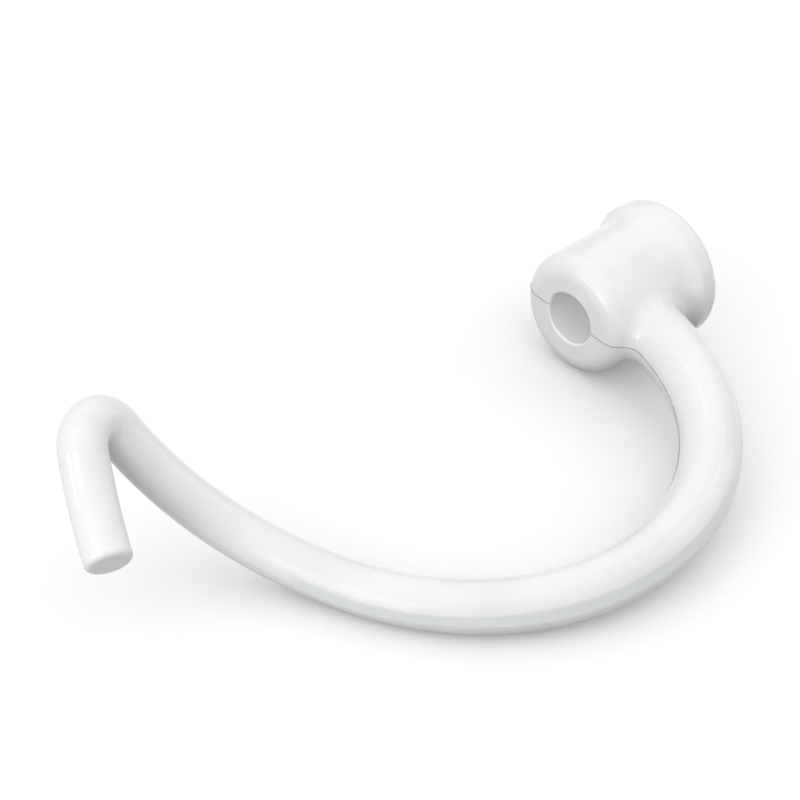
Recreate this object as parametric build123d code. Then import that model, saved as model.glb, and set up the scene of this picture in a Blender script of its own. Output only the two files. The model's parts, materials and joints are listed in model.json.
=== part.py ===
from build123d import *
from math import cos, degrees, radians, sin
import os

# Dough hook of a stand mixer: one casting of a hub, a bow and a folded tail.
# It is drawn with the hub upright, its bore along Z and its collar on top, then laid down at rest.
# Millimetres and degrees.

# Hub
SHAFT_DIAMETER = 12.7
SHAFT_CLEARANCE = 0.1
BARREL_DIAMETER = 30.0
BARREL_END_ROUND = 4.5
COLLAR_STEP = 2.25
COLLAR_LENGTH = 5.4
COLLAR_TOP_ROUND = 2.5
FLARE_LENGTH = 3.4
FLARE_TOP_ROUND = 2.0
FLARE_ROOT_ROUND = 6.0
BORE_EDGE_ROUND = 0.6

# Bayonet slot in the collar end, for the cross pin of the shaft
PIN_DIAMETER = 4.8
PIN_REACH = 9.8
PIN_CLEARANCE = 0.2
SLOT_DEPTH = 12.0
LEDGE_THICKNESS = 5.5
SEAT_RISE = 1.0
LOCK_TURN = 40.0

# Root of the arm, which leaves the barrel between its rounded end and the flare
ROOT_DIAMETER = 15.5
ROOT_BLEND = 4.0
ROOT_ABOVE_ROUND = 0.95
ROOT_BELOW_FLARE = 3.25
ROOT_DEPTH = 9.0

# Arm: the centre line is four arcs, each tangent to the last, with a twist between their planes
BOW_RADIUS = 58.0
BOW_ANGLE = 153.0
SWEEP_RADIUS = 64.0
SWEEP_ANGLE = 55.0
SWEEP_TWIST_ANGLE = -98.0
FOLD_INNER_RADIUS = 1.2
FOLD_ANGLE = 138.0
FOLD_TWIST_ANGLE = -87.0
TAIL_RADIUS = 60.0
TAIL_LENGTH = 23.0
TAIL_TWIST_ANGLE = 118.0

# Arm thickness, from the root to the tip
BOW_END_DIAMETER = 10.7
FOLD_DIAMETER = 10.2
TIP_DIAMETER = 10.0
TIP_EDGE_ROUND = 1.2

# How it lies: the collar is thicker than the arm, so the hub end is lifted
LYING_PITCH = 4.64
LYING_ROLL = 2.86

bore_radius = SHAFT_DIAMETER / 2 + SHAFT_CLEARANCE
barrel_radius = BARREL_DIAMETER / 2
collar_radius = barrel_radius + COLLAR_STEP
arm_height = BARREL_END_ROUND + ROOT_ABOVE_ROUND + ROOT_DIAMETER / 2
barrel_length = arm_height + ROOT_DIAMETER / 2 + ROOT_BELOW_FLARE
flare_top = barrel_length + FLARE_LENGTH
hub_length = flare_top + COLLAR_LENGTH
fold_radius = FOLD_DIAMETER / 2 + FOLD_INNER_RADIUS


def hub_blank():
    """The hub before the bore: a barrel with rounded end that flares to a collar, turned about Z."""
    corners = {
        (barrel_radius, 0): BARREL_END_ROUND,
        (barrel_radius, barrel_length): FLARE_ROOT_ROUND,
        (collar_radius, flare_top): FLARE_TOP_ROUND,
        (collar_radius, hub_length): COLLAR_TOP_ROUND,
    }
    outline = [(0, 0), *corners, (0, hub_length)]
    section = make_face(Polyline([(-r, 0, z) for r, z in outline], close=True))
    for (r, z), radius in corners.items():
        corner = section.vertices().sort_by_distance((-r, 0, z))[0]
        section = fillet(corner, radius)
    return revolve(section, Axis.Z)


def bend(frame, radius, angle):
    """An arc that leaves the frame along its X and turns towards its Y, and the frame at the arc's end."""
    centre = frame.origin + frame.y_dir * radius
    circle = Plane(centre, x_dir=-frame.y_dir, z_dir=frame.z_dir)
    arc = Edge.make_circle(radius, circle, start_angle=0, end_angle=angle)
    return arc, Plane(arc @ 1, x_dir=arc % 1, z_dir=frame.z_dir)


def twist(frame, angle):
    """The frame turned about its own X, which sets the plane of the next bend."""
    axis = Axis((0, 0, 0), frame.x_dir)
    return Plane(frame.origin, x_dir=frame.x_dir, z_dir=frame.z_dir.rotate(axis, angle))


def tapered(path, start, start_diameter, end, end_diameter):
    """A round bar along one arc, from one diameter to another."""
    first = Plane(start.origin, z_dir=start.x_dir) * Circle(start_diameter / 2)
    last = Plane(end.origin, z_dir=end.x_dir) * Circle(end_diameter / 2)
    return sweep([first, last], path=path, multisection=True)


def arm():
    """The round arm, swept along the four arcs and thinner from arc to arc."""
    tail_angle = degrees(TAIL_LENGTH / TAIL_RADIUS)
    start = Plane((barrel_radius - ROOT_DEPTH, 0, arm_height), x_dir=(1, 0, 0), z_dir=(0, 1, 0))
    bow, bow_end = bend(start, BOW_RADIUS, BOW_ANGLE)
    sweep_arc, fold_start = bend(twist(bow_end, SWEEP_TWIST_ANGLE), SWEEP_RADIUS, SWEEP_ANGLE)
    fold, fold_end = bend(twist(fold_start, FOLD_TWIST_ANGLE), fold_radius, FOLD_ANGLE)
    tail, tip = bend(twist(fold_end, TAIL_TWIST_ANGLE), TAIL_RADIUS, tail_angle)
    tapers = [
        (bow, start, ROOT_DIAMETER, bow_end, BOW_END_DIAMETER),
        (sweep_arc, bow_end, BOW_END_DIAMETER, fold_start, FOLD_DIAMETER),
        (fold, fold_start, FOLD_DIAMETER, fold_end, FOLD_DIAMETER),
        (tail, fold_end, FOLD_DIAMETER, tip, TIP_DIAMETER),
    ]
    spans = [tapered(*taper) for taper in tapers]
    rod = spans[0] + spans[1:]
    tip_face = rod.faces().sort_by_distance(tip.origin)[0]
    return fillet(tip_face.edges(), TIP_EDGE_ROUND)


def bayonet():
    """The keyway, the pocket that the pin turns into and the seat that it rises to."""
    width = PIN_DIAMETER + 2 * PIN_CLEARANCE
    reach = PIN_REACH + PIN_CLEARANCE
    floor = hub_length - SLOT_DEPTH
    ceiling = hub_length - LEDGE_THICKNESS
    flat = Rectangle(reach, width, align=(Align.MIN, Align.CENTER)) & Circle(reach)
    keyway = Pos(0, 0, floor) * extrude(flat, SLOT_DEPTH)
    seat = Pos(0, 0, floor) * Rot(0, 0, LOCK_TURN) * extrude(flat, ceiling + SEAT_RISE - floor)
    sides = [PolarLine((0, 0), 2 * collar_radius, angle) for angle in (0, LOCK_TURN)]
    wedge = make_face([*sides, Line(sides[0] @ 1, sides[1] @ 1)])
    pocket = Pos(0, 0, floor) * extrude(wedge & Circle(reach), ceiling - floor)
    return keyway + pocket + seat


def dough_hook():
    """The casting, upright: the arm is blended into the hub, then the bore and the slot are cut."""
    hub = hub_blank()
    rod = arm()
    body = hub + rod
    body = fillet(new_edges(hub, rod, combined=body), ROOT_BLEND)
    bore = Cylinder(bore_radius, hub_length, align=(Align.CENTER, Align.CENTER, Align.MIN))
    body -= bore
    ends = [(bore_radius, 0, 0), (bore_radius, 0, hub_length)]
    mouths = [body.edges().sort_by_distance(end)[0] for end in ends]
    body = fillet(mouths, BORE_EDGE_ROUND)
    return body - bayonet()


def laid_down(shape):
    """The shape as it lies: the hub's axis runs along X, its collar end lifted, and Z is up."""
    pitch = radians(LYING_PITCH)
    roll = radians(LYING_ROLL)
    up = Vector(-sin(roll) * cos(pitch), -cos(roll) * cos(pitch), sin(pitch))
    table = Plane((0, 0, 0), x_dir=(0, 0, 1), z_dir=up)
    lying = table.to_local_coords(shape)
    box = lying.bounding_box()
    return Pos(-box.center().X, -box.center().Y, -box.min.Z) * lying


upright = dough_hook()
hook = laid_down(upright)
os.makedirs("parts", exist_ok=True)
export_step(hook, "parts/dough_hook.step")
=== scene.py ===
import json
from math import radians

import bmesh
import bpy
from mathutils import Matrix, Vector


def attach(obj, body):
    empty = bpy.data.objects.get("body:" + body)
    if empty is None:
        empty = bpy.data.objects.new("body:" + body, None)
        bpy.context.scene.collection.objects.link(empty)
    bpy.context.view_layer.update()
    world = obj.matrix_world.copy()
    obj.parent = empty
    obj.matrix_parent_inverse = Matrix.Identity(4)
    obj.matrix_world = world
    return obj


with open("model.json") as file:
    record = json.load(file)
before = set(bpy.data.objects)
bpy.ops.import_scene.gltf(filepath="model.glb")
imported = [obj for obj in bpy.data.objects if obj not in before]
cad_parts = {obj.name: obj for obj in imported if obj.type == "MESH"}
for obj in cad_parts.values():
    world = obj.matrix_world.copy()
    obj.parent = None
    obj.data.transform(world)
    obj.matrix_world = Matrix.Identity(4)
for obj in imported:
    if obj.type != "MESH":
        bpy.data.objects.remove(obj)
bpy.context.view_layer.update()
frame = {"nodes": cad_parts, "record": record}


# The hook: one aluminium casting of hub, bow and folded tail, with a white gloss coating, also in the bore.
# The two halves of its mould met in the plane of the bow. Round the outside of the arm the flash is taken
# as ground off at a slant before coating, which left a narrow flat strip, a little duller. The strip's
# greyer colour is painted shade, for the darker band low on the outside of the bow.

hook = frame["nodes"]["dough_hook"]
bore = frame["record"]["mounts"][0]
bore_axis = Vector(bore["axis"]).normalized()
bore_radius = bore["dims"]["r_mm"] / 1000

# The roll at rest and the sizes of the casting, in radians and metres
LYING_ROLL = radians(2.86)
HUB_LENGTH = 0.033
ARM_HEIGHT = 0.0132
ROOT_INSET = 0.006
BOW_RADIUS = 0.058

hub_end = Vector(bore["pos_m"]) - bore_axis * HUB_LENGTH / 2
level = bore_axis.cross(Vector((0, 0, 1))).normalized()
parting_normal = Matrix.Rotation(LYING_ROLL, 3, bore_axis) @ level.cross(bore_axis)
arm_side = bore_axis.cross(parting_normal)
bow_centre = hub_end + arm_side * ROOT_INSET + bore_axis * (ARM_HEIGHT - BOW_RADIUS)


class NodeValue:
    """A socket of a node tree: an expression on it adds Math nodes to the same tree."""

    def __init__(self, tree, socket):
        self.tree = tree
        self.socket = socket

    def node(self, kind, settings, values, output=0):
        """Adds a node: its settings come first, then the values or links of its sockets."""
        made = self.tree.nodes.new(kind)
        for name, value in settings.items():
            setattr(made, name, value)
        for name, value in values.items():
            if isinstance(value, NodeValue):
                self.tree.links.new(value.socket, made.inputs[name])
            else:
                made.inputs[name].default_value = value
        return NodeValue(self.tree, made.outputs[output])

    def math(self, operation, *values):
        return self.node("ShaderNodeMath", {"operation": operation}, dict(enumerate(values)))

    def __add__(self, other):
        return self.math("ADD", self, other)

    def __sub__(self, other):
        return self.math("SUBTRACT", self, other)

    def __rsub__(self, other):
        return self.math("SUBTRACT", other, self)

    def __mul__(self, other):
        return self.math("MULTIPLY", self, other)

    __radd__ = __add__
    __rmul__ = __mul__

    def magnitude(self):
        return self.math("ABSOLUTE", self)

    def larger(self, other):
        return self.math("MAXIMUM", self, other)

    def vector(self, operation, values, output=0):
        return self.node("ShaderNodeVectorMath", {"operation": operation}, values, output)

    def minus(self, other):
        return self.vector("SUBTRACT", {0: self, 1: other})

    def along(self, direction):
        """The direction times this number, as a vector."""
        return self.vector("SCALE", {0: direction, "Scale": self})

    def dot(self, direction):
        return self.vector("DOT_PRODUCT", {0: self, 1: direction}, "Value")

    def noise(self, scale, detail):
        return self.node("ShaderNodeTexNoise", {}, {"Vector": self, "Scale": scale, "Detail": detail})

    def step(self, low, high):
        """0 below low and 1 above high, with a smooth rise between."""
        settings = {"interpolation_type": "SMOOTHSTEP"}
        values = {"Value": self, "From Min": low, "From Max": high}
        return self.node("ShaderNodeMapRange", settings, values)

    def between(self, first, second):
        """The first colour where this is 0 and the second where it is 1."""
        settings = {"data_type": "RGBA"}
        return self.node("ShaderNodeMix", settings, {"Factor": self, 6: first, 7: second}, 2)


def new_material(name):
    """A material and its Principled shader."""
    material = bpy.data.materials.new(name)
    material.use_nodes = True
    return material, material.node_tree.nodes["Principled BSDF"]


def coordinate(material, kind):
    """Object for the place of a point in Object coordinates, Normal for the way its surface faces."""
    tree = material.node_tree
    return NodeValue(tree, tree.nodes.new("ShaderNodeTexCoord").outputs[kind])


def link(value, shader, name):
    value.tree.links.new(value.socket, shader.inputs[name])


COATING_COLOUR = (0.85, 0.85, 0.845, 1)
COATING_SHADE = (0.80, 0.805, 0.80, 1)
BORE_PAINTED_LIGHT = (0.93, 0.93, 0.925, 1)
BORE_EDGE_ROUND = 0.0006
COATING_ROUGHNESS = 0.07
MOTTLE_SCALE = 60.0
MOTTLE_RANGE = (0.35, 0.75)
MOTTLE_ROUGHNESS = 0.06
PEEL_SCALE = 700.0
PEEL_STRENGTH = 0.15
PEEL_HEIGHT = 0.0002
STRIP_PAINTED_SHADE = (0.79, 0.82, 0.805, 1)
STRIP_ROUGHNESS = 0.3
STRIP_SLANT = Vector((-0.144, 0.382, 0))
STRIP_SLOPE = (0.16, 0.28)
STRIP_OUTSIDE = (0.01, 0.02)
STRIP_START = (0.022, 0.026)
STRIP_END = (0.010, 0.022)

coating, shader = new_material("white_coating")
place = coordinate(coating, "Object")
facing = coordinate(coating, "Normal")
from_hub = place.minus(hub_end)

# The strip lies where the surface is square to the slanted plane, on the outside of the bow and low down.
# There the normal loses its lean out of that plane, so that the strip shades as ground flat.
# Its greyer colour is painted shade.
strip_normal = (parting_normal + STRIP_SLANT).normalized()
slope = facing.dot(strip_normal)
steep = 1 - slope.magnitude().step(*STRIP_SLOPE)
outside = place.minus(bow_centre).dot(facing).step(*STRIP_OUTSIDE)
clear_of_hub = from_hub.dot(arm_side).step(*STRIP_START)
low = 1 - place.dot(Vector((0, 0, 1))).step(*STRIP_END)
strip = steep * outside * clear_of_hub * low
flat = facing.minus((slope * strip).along(strip_normal))
flat = flat.vector("NORMALIZE", {0: flat})

# Inside the bore the coating is painted paler than outside: painted light that lifts the shade in the bore.
depth = from_hub.dot(bore_axis)
off_axis_squared = from_hub.dot(from_hub) - depth * depth
in_bore = 1 - off_axis_squared.step(bore_radius ** 2, (bore_radius + BORE_EDGE_ROUND) ** 2)
in_bore = in_bore * depth.step(-BORE_EDGE_ROUND, 0)

mottle = place.noise(MOTTLE_SCALE, detail=3.0)
peel = place.noise(PEEL_SCALE, detail=1.0)
outer_colour = mottle.step(*MOTTLE_RANGE).between(COATING_COLOUR, COATING_SHADE)
outer_colour = strip.between(outer_colour, STRIP_PAINTED_SHADE)
link(in_bore.between(outer_colour, BORE_PAINTED_LIGHT), shader, "Base Color")
link(COATING_ROUGHNESS + MOTTLE_ROUGHNESS * mottle + STRIP_ROUGHNESS * strip, shader, "Roughness")
relief = {"Strength": PEEL_STRENGTH, "Distance": PEEL_HEIGHT, "Height": peel, "Normal": flat}
link(peel.node("ShaderNodeBump", {}, relief), shader, "Normal")
for slot in hook.material_slots:
    slot.material = coating


# The parting seam: a hair of flash left where nothing was ground. Its coating is painted dark grey,
# in patches: painted shadow for the shadow line along the seam.
# It runs down the back of the hub, crosses its end face on both sides of the bore, turns into
# the root of the arm and dies out along the inside of the bow.

SEAM_WIDTH = 0.00028
SEAM_PITCH = 0.0004
SEAM_SIDES = 8
SEAM_FADE = (-0.044, -0.030)
SEAM_PAINTED_SHADOW = (0.30, 0.30, 0.28, 1)
SEAM_PALE = (0.44, 0.44, 0.42, 1)
SEAM_ROUGHNESS = 0.3
SEAM_PATCH_SCALE = 900.0
SEAM_PATCH_RANGE = (0.3, 0.7)
SEAM_PATCH_ROUGHNESS = 0.2
SAME_POINT = 1e-6
ON_PLANE = 5e-6


def on_seam(edge):
    """Whether an edge of the parting plane's cut is where the seam was left."""
    middle = (edge.verts[0].co + edge.verts[1].co) / 2
    offset = middle - hub_end
    depth = offset.dot(bore_axis)
    off_axis = (offset - bore_axis * depth).length
    outside_bore = off_axis > bore_radius + BORE_EDGE_ROUND / 2
    inside_bow = (middle - bow_centre).length < BOW_RADIUS
    behind_hub = offset.dot(arm_side) < 0
    before_end = SEAM_FADE[0] < depth < HUB_LENGTH - BORE_EDGE_ROUND
    return outside_bore and before_end and (inside_bow or behind_hub)


# The path is the cut of the parting plane through a copy of the hook's mesh.
shell = bmesh.new()
shell.from_mesh(hook.data)
bmesh.ops.remove_doubles(shell, verts=shell.verts, dist=SAME_POINT)
whole = shell.verts[:] + shell.edges[:] + shell.faces[:]
cut = bmesh.ops.bisect_plane(shell, geom=whole, dist=ON_PLANE, plane_co=hub_end, plane_no=parting_normal)
cut_edges = [part for part in cut["geom_cut"] if isinstance(part, bmesh.types.BMEdge)]
seam_edges = {edge for edge in cut_edges if on_seam(edge)}
bmesh.ops.delete(shell, geom=shell.faces[:], context="FACES_ONLY")
bmesh.ops.delete(shell, geom=[edge for edge in shell.edges if edge not in seam_edges], context="EDGES")
bmesh.ops.delete(shell, geom=[vert for vert in shell.verts if not vert.link_edges], context="VERTS")
seam_path = bpy.data.meshes.new("seam_path")
shell.to_mesh(seam_path)
shell.free()

# The seam's dark grey is painted shadow, broken by noise into paler patches.
seam_shadow_coat, shader = new_material("seam_shadow_coat")
seam_patches = coordinate(seam_shadow_coat, "Object").noise(SEAM_PATCH_SCALE, detail=2.0)
link(seam_patches.step(*SEAM_PATCH_RANGE).between(SEAM_PAINTED_SHADOW, SEAM_PALE), shader, "Base Color")
link(SEAM_ROUGHNESS + SEAM_PATCH_ROUGHNESS * seam_patches, shader, "Roughness")

seam_nodes = bpy.data.node_groups.new("parting_seam", "GeometryNodeTree")
interface = seam_nodes.interface
interface.new_socket("Geometry", in_out="INPUT", socket_type="NodeSocketGeometry")
width_input = interface.new_socket("Width", in_out="INPUT", socket_type="NodeSocketFloat")
pitch_input = interface.new_socket("Pitch", in_out="INPUT", socket_type="NodeSocketFloat")
interface.new_socket("Geometry", in_out="OUTPUT", socket_type="NodeSocketGeometry")
given = seam_nodes.nodes.new("NodeGroupInput").outputs
path, width, pitch = [NodeValue(seam_nodes, given[name]) for name in ("Geometry", "Width", "Pitch")]
line = path.node("GeometryNodeMeshToCurve", {}, {"Mesh": path})
line = line.node("GeometryNodeResampleCurve", {"mode": "LENGTH"}, {"Curve": line, "Length": pitch})
position = line.node("GeometryNodeInputPosition", {}, {})
fade = position.minus(hub_end).dot(bore_axis).step(*SEAM_FADE)
circle = {"Resolution": SEAM_SIDES, "Radius": width * 0.5}
section = line.node("GeometryNodeCurvePrimitiveCircle", {}, circle)
swept = {"Curve": line, "Profile Curve": section, "Scale": fade, "Fill Caps": True}
bead = line.node("GeometryNodeCurveToMesh", {}, swept)
bead = bead.node("GeometryNodeRealizeInstances", {}, {"Geometry": bead})
bead = bead.node("GeometryNodeSetMaterial", {}, {"Geometry": bead, "Material": seam_shadow_coat})
seam_nodes.links.new(bead.socket, seam_nodes.nodes.new("NodeGroupOutput").inputs["Geometry"])

scene = bpy.context.scene
drawn = bpy.data.objects.new("seam_path", seam_path)
scene.collection.objects.link(drawn)
maker = drawn.modifiers.new("parting_seam", "NODES")
maker.node_group = seam_nodes
maker[width_input.identifier] = SEAM_WIDTH
maker[pitch_input.identifier] = SEAM_PITCH
finished = drawn.evaluated_get(bpy.context.evaluated_depsgraph_get())
seam = bpy.data.objects.new("parting_seam", bpy.data.meshes.new_from_object(finished))
scene.collection.objects.link(seam)
bpy.data.objects.remove(drawn)
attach(seam, "root")


# Floor, light and camera: a pale floor that keeps a soft shadow, a white sky, five soft boxes
# and three narrow tubes, whose reflections are the thin streaks on the arm.

scene.view_settings.view_transform = "Standard"

FLOOR_SIZE = 6
FLOOR_SEEN = (0.9, 0.9, 0.9, 1)
FLOOR_LIFT = 0.12
FLOOR_ROUGHNESS = 0.9
FLOOR_BOUNCE = (0.16, 0.16, 0.16, 1)
WHITE = (1, 1, 1, 1)
SKY_STRENGTH = 0.83

bpy.ops.mesh.primitive_plane_add(size=FLOOR_SIZE)
floor = bpy.context.object
floor.name = "floor"
floor_material, floor_shader = new_material("floor")
floor_shader.inputs["Base Color"].default_value = FLOOR_SEEN
floor_shader.inputs["Roughness"].default_value = FLOOR_ROUGHNESS
floor_shader.inputs["Specular IOR Level"].default_value = 0.0
floor_shader.inputs["Emission Color"].default_value = WHITE
floor_shader.inputs["Emission Strength"].default_value = FLOOR_LIFT
tree = floor_material.node_tree
ray = tree.nodes.new("ShaderNodeLightPath").outputs
ray_kinds = ("Is Camera Ray", "Is Glossy Ray", "Is Transmission Ray")
camera_ray, glossy_ray, clear_ray = [NodeValue(tree, ray[kind]) for kind in ray_kinds]
seen = camera_ray.larger(glossy_ray.larger(clear_ray))
bounce = seen.node("ShaderNodeBsdfDiffuse", {}, {"Color": FLOOR_BOUNCE})
pale = NodeValue(tree, floor_shader.outputs[0])
mixed = seen.node("ShaderNodeMixShader", {}, {0: seen, 1: bounce, 2: pale})
tree.links.new(mixed.socket, tree.nodes["Material Output"].inputs["Surface"])
floor.data.materials.append(floor_material)

world = bpy.data.worlds.new("studio")
world.use_nodes = True
sky = world.node_tree.nodes["Background"]
sky.inputs["Color"].default_value = WHITE
sky.inputs["Strength"].default_value = SKY_STRENGTH
scene.world = world

BOX_WIDTH = 0.9
LOW_BOX_HEIGHT = 0.25
TUBE_LENGTH = 0.5
SHORT_TUBE_LENGTH = 0.35
TUBE_WIDTH = 0.04


def softbox(name, place, size, watts):
    """A rectangular area lamp that faces the origin."""
    lamp = bpy.data.lights.new(name, "AREA")
    lamp.shape = "RECTANGLE"
    lamp.size, lamp.size_y = size
    lamp.energy = watts
    made = bpy.data.objects.new(name, lamp)
    made.location = place
    made.rotation_euler = (-Vector(place)).to_track_quat("-Z", "Y").to_euler()
    scene.collection.objects.link(made)


softbox("key", (-0.91, 0.14, 0.77), size=(BOX_WIDTH, BOX_WIDTH), watts=1.4)
softbox("front", (-1.11, -0.32, 0.31), size=(BOX_WIDTH, BOX_WIDTH), watts=4.0)
softbox("left", (-1.18, 0.12, 0.17), size=(BOX_WIDTH, LOW_BOX_HEIGHT), watts=2.0)
softbox("right", (0.91, -0.50, 0.60), size=(BOX_WIDTH, BOX_WIDTH), watts=1.4)
softbox("back", (0.64, 0.56, 0.85), size=(BOX_WIDTH, BOX_WIDTH), watts=1.0)
softbox("back_tube", (0.12, 0.68, 0.71), size=(TUBE_LENGTH, TUBE_WIDTH), watts=0.11)
softbox("right_tube", (0.76, -0.02, 0.63), size=(SHORT_TUBE_LENGTH, TUBE_WIDTH), watts=0.07)
softbox("front_tube", (-0.70, -0.46, 0.55), size=(TUBE_LENGTH, TUBE_WIDTH), watts=0.05)

CAMERA_PLACE = Vector((-0.3340, -0.2687, 0.3460))
CAMERA_AIM = Vector((0.0056, 0.0295, 0.012))
CAMERA_ROLL = radians(8.03)
CAMERA_LENS = 115.0
CAMERA_SENSOR = 36

camera = bpy.data.objects.new("camera", bpy.data.cameras.new("camera"))
camera.data.lens = CAMERA_LENS
camera.data.sensor_width = CAMERA_SENSOR
turn = (CAMERA_AIM - CAMERA_PLACE).to_track_quat("-Z", "Y").to_matrix()
turn = turn @ Matrix.Rotation(CAMERA_ROLL, 3, "Z")
camera.matrix_world = Matrix.Translation(CAMERA_PLACE) @ turn.to_4x4()
scene.collection.objects.link(camera)
scene.camera = camera
